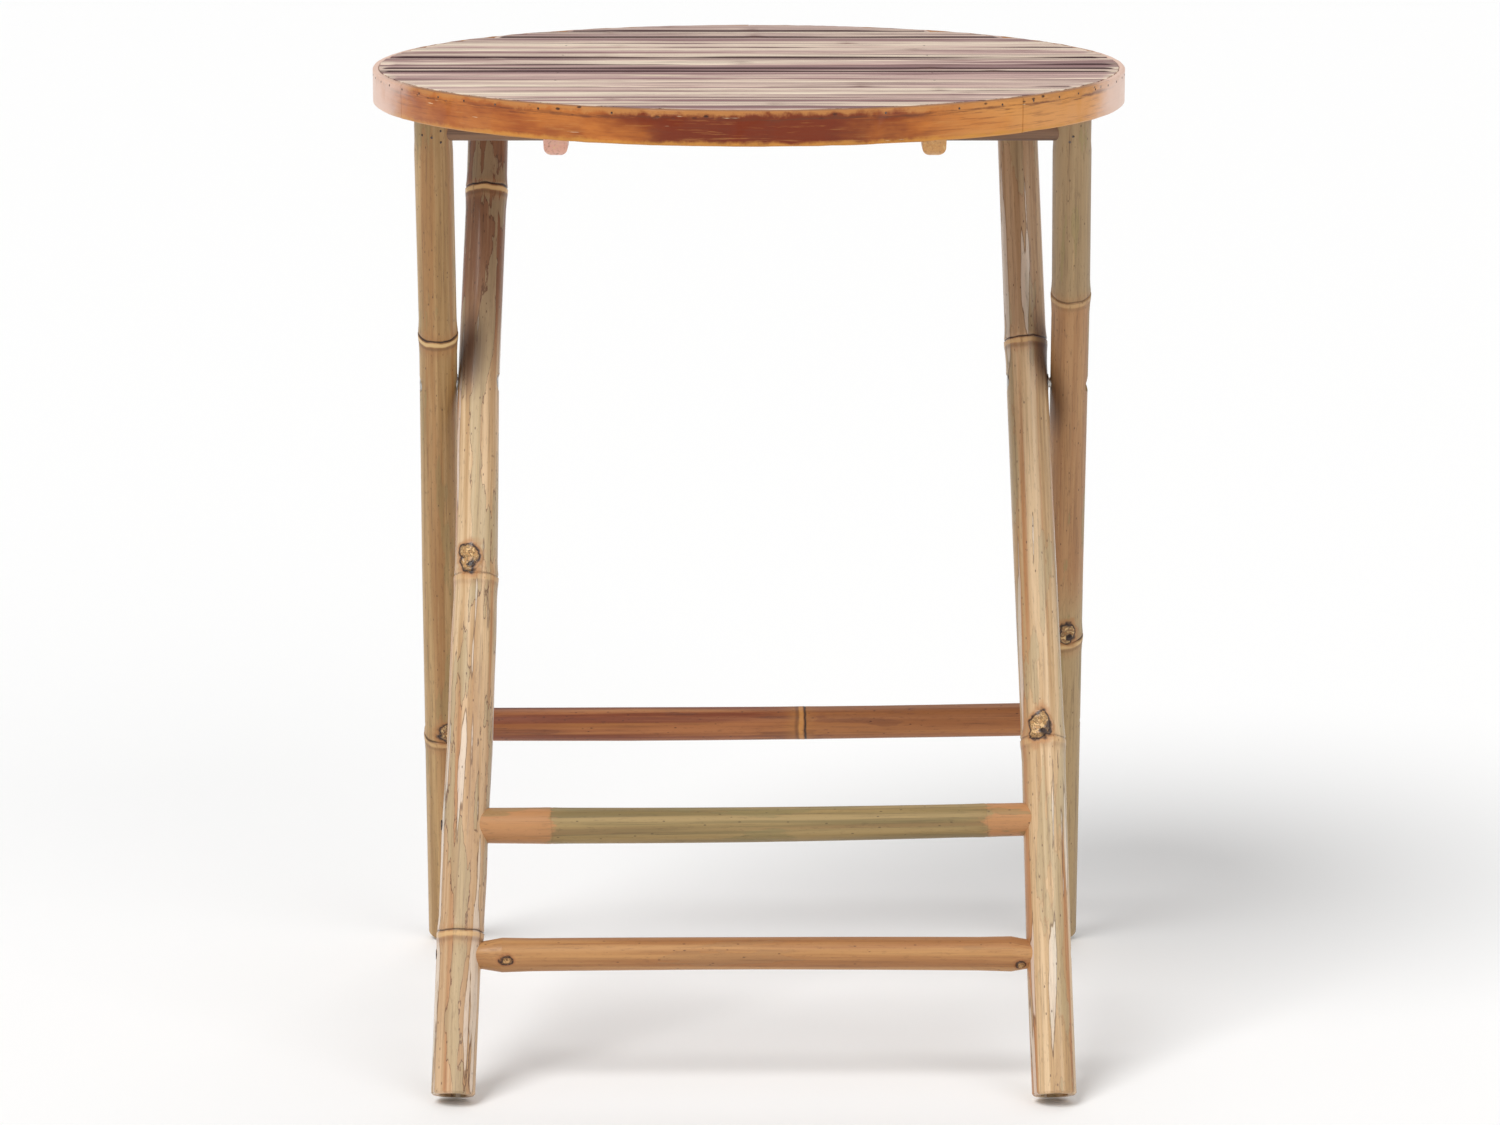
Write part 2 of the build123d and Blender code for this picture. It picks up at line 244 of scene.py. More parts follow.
def culmFinish(name, look):
    # the grain attribute holds x, y across the culm and z along it, in metres
    f = Finish(name)
    grain = f.attribute("grain")
    s = f.along(grain, 2)
    shift = (look["seed"] * 3.1, look["seed"] * 1.7, look["seed"] * 0.9)
    fibre = f.noise(grain, (480, 480, 11), 5, 0.75, shift)
    flecks = f.noise(grain, (620, 620, 120), 3, 0.7, shift)
    stripe = f.noise(grain, (130, 130, 2.6), 3, 0.6, shift)
    band = f.noise(grain, (95, 95, 1.6), 2, 0.5, (5, 2, look["seed"]))
    cloud = f.noise(grain, (70, 70, 9), 3, 0.5, shift)
    edge = f.noise(grain, (240, 240, 70), 3, 0.6, shift)
    colour = f.blend(stripe.rise(0.38, 0.60), look["pale"], look["base"])
    colour = f.blend(band.rise(0.54, 0.66) * look["stripes"], colour, look["stripe"])
    for first, last, tone, amount in look["tones"]:
        # the culm's colour drifts from one height to another; on the inner legs the darker brown above the pivot is
        # partly painted shade of the top
        edgeAt = s + (edge - 0.5) * look["drift"]
        colour = f.blend(edgeAt.rise(first, last) * amount, colour, tone)
    # grey-olive patches of skin and runs of varnish, each with a thin dark outline; the whitish inside of a run is
    # partly a painted highlight on the varnish
    patchEdge = cloud + (edge - 0.5) * 0.14
    patch = patchEdge.rise(look["patchFrom"], look["patchFrom"] + 0.015)
    colour = f.blend(patch * look["patches"], colour, look["patch"])
    colour = f.blend(patchEdge.ridge(look["patchFrom"], 0.010) * look["outline"], colour, look["dark"])
    runEdge = f.noise(grain, (105, 105, 6), 2, 0.5, (8, 6, look["seed"])) + (edge - 0.5) * 0.05
    run = runEdge.rise(0.62, 0.635) * look["runs"]
    # painted highlight: the runs are lightened towards white
    colour = f.blend(run * 0.50, colour, look["run"])
    colour = f.blend(runEdge.ridge(0.618, 0.012) * look["runs"] * 0.7, colour, look["dark"])
    colour = f.blend(fibre.rise(0.50, 0.74) * look["fibres"], colour, look["dark"])
    colour = f.blend((1 - fibre.rise(0.28, 0.46)) * look["fibres"] * 0.8, colour, look["pale"])
    colour = f.blend(flecks.rise(0.54, 0.74) * look["fibres"] * 0.7, colour, look["dark"])
    colour = f.blend(f.spots(grain, (210, 210, 90), 0.13, shift) * 0.75, colour, look["dark"])
    height = fibre * 0.3 + patch * 0.4 + run * 1.6
    # node rings: a dark scar line, a cream ledge under it, and a brown smudge about both
    wave = (f.noise(grain, (70, 70, 70), 2, 0.5, shift) - 0.5) * 0.004
    broken = 1 - edge.rise(0.56, 0.66) * 0.8
    for place, strength in look["nodeMarks"]:
        t = s - place + wave
        colour = f.blend(t.ridge(-0.004, look["smudge"]) * (0.1 + 0.5 * strength), colour, look["stripe"])
        colour = f.blend(t.ridge(-0.0068, 0.003) * strength * 0.5, colour, look["dark"])
        ledge = t.rise(-0.0056, -0.0040) * (1 - t.rise(-0.0022, -0.0008)) * broken
        colour = f.blend(ledge * strength, colour, look["ledge"])
        scar = t.ridge(0.0002, look["scarWidth"] * (0.6 + 0.4 * strength)) * min(1.0, 1.2 * strength + 0.1)
        colour = f.blend(scar, colour, look["scar"])
        height = height - scar * 2.0
    for centre, size in look["knotMarks"]:
        # a branch scar: brown outside, an uneven dark rim, and a golden middle split by cracks
        lumps = f.noise(grain, (105, 105, 105), 2, 0.5, shift) - 0.5
        away = f.distance(f.stretch(grain, (1, 1, 0.8)), (centre[0], centre[1], centre[2] * 0.8)) + lumps * size * 1.3
        crumbs = f.noise(grain, (420, 420, 420), 3, 0.7, shift)
        inside = 1 - away.rise(size * 0.62, size * 0.78)
        colour = f.blend((1 - away.rise(size * 0.90, size * 1.40)) * 0.75, colour, look["stripe"])
        colour = f.blend(inside * 0.95, colour, f.blend(crumbs.rise(0.42, 0.60), look["knot"], look["ledge"]))
        rim = away.ridge(size * 0.74, size * 0.24) * crumbs.rise(0.30, 0.42)
        crack = crumbs.ridge(0.50, 0.035) * (1 - away.rise(size * 0.45, size * 0.65))
        pit = (centre[0] + size * 0.25, centre[1], centre[2] - size * 0.40)
        pit = 1 - (f.distance(grain, pit) + lumps * size * 0.6).rise(size * 0.20, size * 0.36)
        for mark in (rim, crack, pit):
            colour = f.blend(mark, colour, look["scar"])
        height = height - rim * 1.5 - crack * 2.0
    # painted shade where the legs cross near the pivot
    for centre, size, amount in look["stains"]:
        away = f.distance(f.stretch(grain, (1, 1, 0.4)), (centre[0], centre[1], centre[2] * 0.4))
        colour = f.blend((1 - away.rise(size * 0.2, size)) * amount, colour, look["stain"])
    rough = 0.36 + fibre * 0.24 - run * 0.12
    return f.close(colour, rough, f.bump(height, 0.0005, 0.6), coat=look["coat"], coatRough=0.16)


def axisFromBox(node, radiusLow, radiusHigh, rises):
    # ends of a tapered round piece's axis, from its box; rises says which way X and Y go with Z
    low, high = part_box(node)
    along = Vector((high.x - low.x, high.y - low.y, high.z - low.z)).normalized()
    for _ in range(6):
        spread = [math.sqrt(max(0.0, 1 - c * c)) for c in along]
        start = [low[i] + radiusLow * spread[i] for i in range(3)]
        end = [high[i] - radiusHigh * spread[i] for i in range(3)]
        for i in range(2):
            if rises[i] < 0:
                start[i] = high[i] - radiusLow * spread[i]
                end[i] = low[i] + radiusHigh * spread[i]
        along = (Vector(end) - Vector(start)).normalized()
        along = Vector([abs(c) for c in along])
    return Vector(start), Vector(end)


def layMatrix(start, end, across):
    # upright culm to its place: local Z runs from start to end, and local X keeps near across
    z = (end - start).normalized()
    x = (across - z * across.dot(z)).normalized()
    y = z.cross(x)
    turn = Matrix((x, y, z)).transposed().to_4x4()
    return Matrix.Translation(start) @ turn


culmShape = {
    "segments": 44,
    "step": 0.012,
    "nodeClear": 0.014,  # no even station nearer to a node than this
    # offset from a node along the culm, and how far it swells there
    "ledge": ((0.012, 0.0), (0.005, 0.00035), (0.0016, 0.0007), (0.0004, 0.0002), (-0.0004, 0.0003),
              (-0.0012, 0.0010), (-0.0042, 0.0009), (-0.009, 0.0004), (-0.018, 0.0)),
    "wall": 0.0050,
    "hollow": 0.030,
}


def stationList(length, nodes, knots, extra):
    places = {0.0, length}
    places.update(i * culmShape["step"] for i in range(1, int(length / culmShape["step"])))
    for node in nodes:
        places = {p for p in places if abs(p - node) > culmShape["nodeClear"] or p in (0.0, length)}
        places.update(node + offset for offset, _ in culmShape["ledge"])
    for place, _, size in knots:
        places.update(place + size * k / 4 for k in range(-5, 6))
    places.update(extra)
    tidy = []
    for place in sorted(p for p in places if 0.0 <= p <= length):
        if not tidy or place - tidy[-1] > 0.0003:
            tidy.append(place)
    return tidy


def growCulm(length, radii, nodes, knots=(), bends=(), trims=(), ease=0.0015, flare=1.0):
    # radii: (start, end); bends: (place, dx, dy); trims: (place, radius change) between which it is linear
    def between(table, place, item):
        if not table:
            return 0.0
        if place <= table[0][0]:
            return table[0][item]
        for a, b in zip(table, table[1:]):
            if place <= b[0]:
                return a[item] + (b[item] - a[item]) * (place - a[0]) / (b[0] - a[0])
        return table[-1][item]

    def radiusAt(place):
        radius = radii[0] + (radii[1] - radii[0]) * place / length
        for node in nodes:
            radius += between(sorted(culmShape["ledge"]), place - node, 1) * flare
        if place < ease:
            radius -= (ease - place) * 0.8
        return radius + between(trims, place, 1)

    extra = [ease, ease * 0.4] + [t[0] for t in trims]
    stations = stationList(length, nodes, knots, extra)
    deselectAll()
    foot = (between(bends, 0, 1), between(bends, 0, 2), 0)
    bpy.ops.mesh.primitive_circle_add(
        vertices=culmShape["segments"], radius=radiusAt(0), fill_type="NGON", location=foot
    )
    bpy.ops.object.transform_apply(location=True, rotation=True, scale=True)
    piece = bpy.context.active_object
    bpy.ops.object.mode_set(mode="EDIT")
    bpy.ops.mesh.select_all(action="SELECT")
    for here, place in zip(stations, stations[1:]):
        drift = [between(bends, place, i) - between(bends, here, i) for i in (1, 2)]
        step = (drift[0], drift[1], place - here)
        bpy.ops.mesh.extrude_region_move(TRANSFORM_OT_translate={"value": step})
        scale = radiusAt(place) / radiusAt(here)
        centre = (between(bends, place, 1), between(bends, place, 2), place)
        bpy.ops.transform.resize(value=(scale, scale, 1), center_override=centre)
    bpy.ops.mesh.select_all(action="SELECT")
    bpy.ops.mesh.normals_make_consistent(inside=False)
    closeMesh()
    # branch scars: a raised lump with a dished middle, worked into finer faces
    for place, bearing, size in knots:
        spot = Vector((math.cos(bearing), math.sin(bearing), 0)) * radiusAt(place) + Vector((0, 0, place))
        if selectWhere(piece, "FACE", lambda face: (face.center - spot).length < size * 1.5):
            bpy.ops.mesh.subdivide(number_cuts=2)
        for reach, lift in ((1.0, 0.0006), (0.75, 0.0006), (0.42, -0.0008)):
            if selectWhere(piece, "VERT", lambda v: (v.co - spot).length < size * reach):
                bpy.ops.transform.shrink_fatten(value=lift)
        closeMesh()
    return piece


def hollowEnds(piece, length):
    # opens both cut ends into the hollow of the culm
    for place, facing in ((0.0, -1), (length, 1)):

        def isEnd(face):
            atEnd = abs(face.center.z - place) < 0.002 and face.area > 0.0003
            return atEnd and face.normal.z * facing > 0.9

        if selectWhere(piece, "FACE", isEnd):
            bpy.ops.mesh.inset(thickness=culmShape["wall"])
            bpy.ops.mesh.extrude_region_move(TRANSFORM_OT_translate={"value": (0, 0, -facing * culmShape["hollow"])})
        closeMesh()


def layGrain(piece, matrix):
    # writes each vertex's place in the culm's own upright frame, which the finish reads
    back = matrix.inverted()
    grain = piece.data.attributes.get("grain") or piece.data.attributes.new("grain", "FLOAT_VECTOR", "POINT")
    for vertex in piece.data.vertices:
        grain.data[vertex.index].vector = back @ vertex.co


def place(piece, matrix):
    pick(piece)
    piece.matrix_world = matrix
    bpy.ops.object.transform_apply(location=True, rotation=True, scale=True)


def drum(start, end, radius, segments=32):
    # plain round cutter from one point to another
    deselectAll()
    bpy.ops.mesh.primitive_cylinder_add(vertices=segments, radius=radius, depth=(end - start).length)
    cutter = bpy.context.active_object
    across = Vector((0, 1, 0)) if abs((end - start).normalized().y) < 0.9 else Vector((1, 0, 0))
    place(cutter, layMatrix((start + end) / 2, end, across))
    return cutter


scarBrown = (0.030, 0.012, 0.007)
culmPalette = {
    "outer": {
        "pale": (0.52, 0.33, 0.145), "base": (0.36, 0.205, 0.076), "stripe": (0.38, 0.165, 0.052),
        "patch": (0.29, 0.215, 0.085), "dark": (0.105, 0.055, 0.026), "ledge": (0.68, 0.45, 0.20), "scar": scarBrown,
        "knot": (0.33, 0.16, 0.06), "run": (0.60, 0.48, 0.34), "stain": (0.055, 0.030, 0.022),
        "patchFrom": 0.60, "patches": 0.45, "outline": 0.10, "runs": 0.0, "fibres": 0.60, "stripes": 0.45,
        "smudge": 0.016, "scarWidth": 0.0016, "coat": 0.12,
    },
    "inner": {
        "pale": (0.72, 0.51, 0.300), "base": (0.50, 0.310, 0.150), "stripe": (0.46, 0.205, 0.075),
        "patch": (0.42, 0.350, 0.205), "dark": (0.115, 0.058, 0.034), "ledge": (0.76, 0.49, 0.22), "scar": scarBrown,
        "knot": (0.50, 0.27, 0.10), "run": (0.86, 0.78, 0.68), "stain": (0.075, 0.034, 0.030),
        "patchFrom": 0.55, "patches": 0.60, "outline": 0.80, "runs": 1.0, "fibres": 0.48, "stripes": 0.95,
        "smudge": 0.011, "scarWidth": 0.0013, "coat": 0.35,
    },
}
halfTurn = math.pi
frontBearing = -halfTurn / 2
# heights are in metres above the floor: nodes (height, strength), knots (height, turn from the front, size),
# bends (height, sideways), trims (height, change of radius), tones (from, to, colour, amount), where the inner legs'
# darker tops are partly painted shade of the top, and crossing shade (height, turn, size, amount), painted shade where
# the legs cross; wear changes values of the culm's palette
seats = {
    "rail": 0.0097,  # from the top of the top rail down to where a leg is dressed for it
    "pivotSink": 0.002, "pivotReach": 0.03, "pivotPlay": 0.0005,
    "screwSink": 0.0025, "screwReach": 0.02, "screwRadius": 0.0042,
}
legs = {
    "outer_leg_left": {
        "kind": "outer", "seed": 1, "rises": (1, -1), "radii": (0.0145, 0.0148), "nodes": ((0.199, 0.6), (0.558, 1.0)),
        "knots": ((0.208, 0.35, 0.0095),), "bends": ((0.35, 0.0), (0.554, 0.0012)), "trims": (),
        "tones": (), "stains": (), "wear": {},
    },
    "outer_leg_right": {
        "kind": "outer", "seed": 2, "rises": (-1, -1), "radii": (0.0145, 0.0148),
        "nodes": ((0.2915, 0.7), (0.5915, 0.35)),
        "knots": ((0.301, 0.1, 0.0095),), "bends": ((0.35, 0.0), (0.5915, 0.0010)), "trims": (),
        "wear": {"stripes": 0.7, "patches": 0.6},
        "tones": ((0.60, 0.585, (0.37, 0.165, 0.070), 0.60), (0.36, 0.30, (0.42, 0.305, 0.150), 0.75),
                  (0.578, 0.60, (0.31, 0.215, 0.115), 0.7)), "stains": ((0.505, -0.9, 0.018, 0.5),),
    },
    "inner_leg_left": {
        "kind": "inner", "seed": 3, "rises": (1, 1), "radii": (0.0173, 0.0157),
        "nodes": ((0.120, 0.6), (0.3735, 0.25), (0.6585, 1.0)), "knots": ((0.3845, -0.12, 0.0115),),
        "bends": ((0.0, 0.0020), (0.0975, 0.0022), (0.13, 0.0032), (0.165, 0.0036), (0.194, 0.0032), (0.25, 0.0046),
                  (0.30, 0.0042), (0.3735, 0.0044), (0.44, 0.0026), (0.51, 0.0003), (0.6585, 0.0008)),
        "trims": ((0.0, -0.0006), (0.10, 0.0), (0.16, 0.0009), (0.33, 0.0009), (0.37, 0.0)),
        "wear": {"patches": 0.5}, "stains": ((0.532, -0.5, 0.019, 0.75),),
        # the dark brown above 0.49 is partly darker wood and partly painted shade of the top
        "tones": ((0.49, 0.60, (0.200, 0.074, 0.032), 0.86), (0.33, 0.26, (0.49, 0.275, 0.150), 0.35)),
    },
    "inner_leg_right": {
        "kind": "inner", "seed": 4, "rises": (-1, 1), "radii": (0.0173, 0.0157),
        "nodes": ((0.2565, 0.25), (0.5455, 0.7)),
        "knots": ((0.264, -0.12, 0.0110),), "bends": ((0.10, -0.0006), (0.2565, 0.0014), (0.40, 0.0004), (0.51, 0.0)),
        "trims": ((0.0, -0.0004), (0.10, 0.0)),
        "wear": {"patches": 0.45, "outline": 0.25}, "stains": ((0.532, 0.9, 0.017, 0.75),),
        # the darker brown above 0.52 is partly painted shade of the top
        "tones": ((0.52, 0.56, (0.36, 0.210, 0.118), 0.60),),
    },
}


def makeLegs():
    # the legs as upright solids, with what is needed to lay and finish each
    made = {}
    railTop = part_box("outer_top_rail")[1].z
    for name, look in legs.items():
        start, end = axisFromBox(name, look["radii"][0] - 0.0015, look["radii"][1], look["rises"])
        length = (end - start).length
        lift = (end.z - start.z) / length

        def along(height):
            return (height - start.z) / lift

        nodes = [along(h) for h, _ in look["nodes"]]
        nodeMarks = [(along(h), strength) for h, strength in look["nodes"]]
        knots = [(along(h), frontBearing + turn, size) for h, turn, size in look["knots"]]
        bends = [(along(h), dx, 0.0) for h, dx in look["bends"]] + [(length - 0.03, 0.0, 0.0)]
        railPlace = along(railTop - seats["rail"])
        trims = [(along(h), change) for h, change in look["trims"]]
        trims += [(railPlace - 0.02, 0.0), (railPlace - 0.012, -0.0004), (length, -0.0004)]
        piece = growCulm(length, look["radii"], nodes, knots, bends, trims)
        knotMarks = []
        for centre, bearing, size in knots:
            radius = look["radii"][0] + 0.0008
            knotMarks.append(((math.cos(bearing) * radius, math.sin(bearing) * radius, centre), size))
        tones = [(along(low), along(high), tone, amount) for low, high, tone, amount in look["tones"]]
        stains = []
        for height, turn, size, amount in look["stains"]:
            bearing = frontBearing + turn
            spot = (math.cos(bearing) * look["radii"][0], math.sin(bearing) * look["radii"][0], along(height))
            stains.append((spot, size, amount))
        made[name] = {
            "piece": piece, "matrix": layMatrix(start, end, Vector((1, 0, 0))), "start": start, "end": end,
            "length": length, "look": look,
            "marks": {"nodeMarks": nodeMarks, "knotMarks": knotMarks, "tones": tones, "stains": stains},
        }
    return made


def pointAt(leg, height):
    share = (height - leg["start"].z) / (leg["end"].z - leg["start"].z)
    return leg["start"].lerp(leg["end"], share)


# trims: share along the stretcher, and how much thicker or thinner it is there, in metres
stretchers = {
    "outer_stretcher": {
        "frame": "outer", "slot": "back", "radius": 0.0135, "flare": 0.15, "nodes": ((0.585, 1.0),),
        "knots": (), "seed": 5,
        "trims": ((0.0, 0.0), (0.3, 0.0003), (0.7, -0.0002), (1.0, 0.0)), "sag": -0.0015,
        "tones": ((0.48, 0.62, (0.40, 0.165, 0.050), 0.55), (0.25, 0.15, (0.19, 0.050, 0.020), 0.35)),
        "colours": {
            "pale": (0.42, 0.160, 0.055), "base": (0.22, 0.056, 0.020), "stripe": (0.46, 0.195, 0.050),
            "patch": (0.17, 0.055, 0.026), "dark": (0.060, 0.020, 0.013), "ledge": (0.55, 0.25, 0.07),
            "fibres": 0.55, "stripes": 0.6, "coat": 0.15,
        },
    },
    "inner_upper_stretcher": {
        "frame": "inner", "slot": "upper", "radius": 0.01325, "flare": 0.25, "nodes": ((0.156, 0.0), (0.900, 0.0)),
        "knots": (), "seed": 6,
        "trims": ((0.0, 0.0002), (0.12, 0.0006), (0.5, 0.0002), (0.85, -0.0004), (1.0, -0.0006)), "sag": -0.0020,
        "tones": ((0.162, 0.150, (0.50, 0.235, 0.095), 0.9), (0.894, 0.906, (0.50, 0.235, 0.095), 0.9)),
        "colours": {
            "pale": (0.37, 0.255, 0.105), "base": (0.22, 0.160, 0.066), "stripe": (0.33, 0.170, 0.070),
            "patch": (0.22, 0.185, 0.078), "dark": (0.090, 0.060, 0.030), "ledge": (0.50, 0.27, 0.11),
            "fibres": 0.45, "stripes": 0.35, "coat": 0.10,
        },
    },
    "inner_lower_stretcher": {
        "frame": "inner", "slot": "lower", "radius": 0.0126, "flare": 1.0, "nodes": (), "seed": 7,
        "knots": ((0.085, 0.0, 0.0050), (0.950, 0.45, 0.0040)),
        "trims": ((0.0, -0.0022), (0.045, -0.0020), (0.078, 0.0006), (0.13, 0.0), (0.5, -0.0003), (0.88, 0.0002),
                  (0.935, 0.0008), (0.965, -0.0016), (1.0, -0.0022)),
        "sag": 0.0012, "tones": ((0.20, 0.06, (0.46, 0.235, 0.090), 0.4),),
        "colours": {
            "pale": (0.50, 0.255, 0.095), "base": (0.36, 0.157, 0.055), "stripe": (0.36, 0.145, 0.055),
            "patch": (0.34, 0.180, 0.078), "dark": (0.120, 0.055, 0.026), "ledge": (0.58, 0.34, 0.14),
            "fibres": 0.45, "stripes": 0.5, "coat": 0.10,
        },
    },
}


def makeStretchers(legPieces):
    for name, look in stretchers.items():
        low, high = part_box(name)
        heights = (low.z + look["radius"], high.z - look["radius"])
        left, right = [legPieces[f"{look['frame']}_leg_{side}"] for side in sides]
        start, end = pointAt(left, heights[0]), pointAt(right, heights[1])
        length = (end - start).length
        nodes = [length * share for share, _ in look["nodes"]]
        # local X of a stretcher points up and its local Y to the front
        knots = [(length * n, halfTurn / 2 + turn, size) for n, turn, size in look["knots"]]
        bends = [(length * k / 10, look["sag"] * math.sin(halfTurn * k / 10), 0.0) for k in range(11)]
        trims = [(length * share, change) for share, change in look["trims"]]
        radius = look["radius"]
        piece = growCulm(length, (radius, radius), nodes, knots, bends, trims, 0.0, look["flare"])
        matrix = layMatrix(start, end, Vector((0, 0, 1)))
        place(piece, matrix)
        for leg in (left, right):
            carve(piece, leg["solid"], keepCutter=True)
        layGrain(piece, matrix)
        smooth(piece)
        colours = dict(culmPalette["outer"])
        colours.update(look["colours"], seed=look["seed"], stains=(), drift=0.03)
        colours["tones"] = [(length * low, length * high, *rest) for low, high, *rest in look["tones"]]
        colours["nodeMarks"] = [(length * share, strength) for share, strength in look["nodes"]]
        colours["knotMarks"] = [((math.cos(b) * radius, math.sin(b) * radius, c), size) for c, b, size in knots]
        finish = culmFinish(name + "_bamboo", colours)
        settle(piece, name + "_culm", f"{look['frame']}_frame", finish, f"{look['slot']}_stretcher_bamboo", name)
        look["tips"] = (start, end)


def finishLegs(legPieces):
    for name, leg in legPieces.items():
        look = leg["look"]
        side = name.rsplit("_", 1)[1]
        sign = sides[side]
        piece = leg["piece"]
        place(piece, leg["matrix"])
        for vertex in piece.data.vertices:
            vertex.co.z = max(vertex.co.z, 0.0)  # the foot is worn flat where it stands
        # recess for the pivot's screw head or nut
        outward = sign if look["kind"] == "outer" else -sign
        fitting = "pivot_screw_" if look["kind"] == "outer" else "pivot_nut_"
        low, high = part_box(fitting + side)
        headRadius = (high.z - low.z) / 2
        centre = Vector((0, (low.y + high.y) / 2, (low.z + high.z) / 2))
        face = high.x if outward > 0 else low.x
        inner = centre + Vector((face - outward * seats["pivotSink"], 0, 0))
        outer = inner + Vector((outward * seats["pivotReach"], 0, 0))
        carve(piece, drum(inner, outer, headRadius + seats["pivotPlay"]))
        for stretcher, about in stretchers.items():
            if about["frame"] != look["kind"]:
                continue
            end = about["tips"][0 if sign < 0 else 1]
            screwLow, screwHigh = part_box(stretcher + "_screws")
            head = screwLow.x if sign < 0 else screwHigh.x
            seat = Vector((head - sign * seats["screwSink"], end.y, end.z))
            mouth = seat + Vector((sign * seats["screwReach"], 0, 0))
            carve(piece, drum(seat, mouth, seats["screwRadius"]))
        layGrain(piece, leg["matrix"])
        smooth(piece)
        colours = dict(culmPalette[look["kind"]])
        colours.update(leg["marks"], seed=look["seed"], drift=0.02, **look["wear"])
        finish = culmFinish(name + "_bamboo", colours)
        settle(piece, name + "_culm", f"{look['kind']}_frame", finish, f"{look['kind']}_leg_bamboo", name)


# slats of the top; lengths are in metres
slatShape = {
    "steps": 46, "rows": 7,
    "ridge": 0.0005,  # how uneven the face is across the slat
    "edgeDrop": 0.0016,  # how far the long edges are rounded down
    # seams where the slat behind stands proud of the one in front, with painted shade on its front edge: place and how
    # much, out of 1
    "deepSeams": ((-0.128, 0.5), (-0.034, 1.0), (0.007, 0.35), (0.061, 0.6), (0.13, 0.3), (0.189, 0.75),
                  (0.235, 0.55)),
    "deepReach": 0.0122, "deepDrop": 0.0028,
    "waver": 0.0004,
    "stainEvery": 0.07,  # distance over which the dark edge comes and goes
    "nodeReach": 0.007,
}


def slatFinish():
    f = Finish("slat_bamboo")
    where = f.objectPlace()
    tone = f.attribute("tone", "Fac")
    stain = f.attribute("stain", "Fac")
    mark = f.attribute("nodeMark", "Fac")
    fine = f.noise(where, (9, 900, 1), 4, 0.7)
    back = f.along(where, 1).rise(0.10, 0.25)
    broad = f.noise(where, (1.8, 72, 1), 4, 0.65, (3, 1, 0))
    patchy = f.noise(where, (9, 30, 1), 3, 0.6, (7, 4, 0))
    colour = f.blend((tone + (patchy - 0.5) * 0.9).rise(0.15, 0.85), (0.72, 0.57, 0.460), (0.57, 0.390, 0.350))
    colour = f.blend(broad.rise(0.49, 0.58) * 0.85, colour, (0.235, 0.120, 0.125))
    colour = f.blend((1 - broad.rise(0.38, 0.46)) * 0.85, colour, (0.84, 0.72, 0.56))
    colour = f.blend(back * patchy.rise(0.30, 0.60) * 0.55, colour, (0.36, 0.235, 0.225))
    colour = f.blend(fine.rise(0.52, 0.64) * 0.62, colour, (0.15, 0.068, 0.072))
    crack = f.noise(where, (1.4, 300, 1), 3, 0.6, (1, 9, 0)).rise(0.60, 0.65)
    colour = f.blend(crack * 0.85, colour, (0.055, 0.020, 0.025))
    ragged = (broad - 0.5) * 0.8
    # painted shade on the front edges of the slats and a painted highlight on their back edges
    colour = f.blend((stain + ragged).rise(0.20, 0.55) * 0.95, colour, (0.050, 0.018, 0.020))
    colour = f.blend((ragged - stain).rise(0.30, 0.70) * 0.85, colour, (0.78, 0.66, 0.47))
    colour = f.blend(mark * fine.rise(0.35, 0.60) * 0.65, colour, (0.20, 0.110, 0.090))
    rough = 0.50 + fine * 0.2
    height = broad * 0.6 + fine * 0.4 - crack + mark
    return f.close(colour, rough, f.bump(height, 0.0007, 0.6), coat=0.0, shine=0.15)


def easing(rng, low, high, every, strength):
    # a smooth random amount along x, from control values at even spaces
    count = int((high - low) / every) + 3
    values = [rng.uniform(-0.7, 1.0) * strength for _ in range(count)]

    def at(x):
        place = (x - low) / every
        i = min(int(place), count - 2)
        t = place - i
        t = t * t * (3 - 2 * t)
        return values[i] * (1 - t) + values[i + 1] * t

    return at


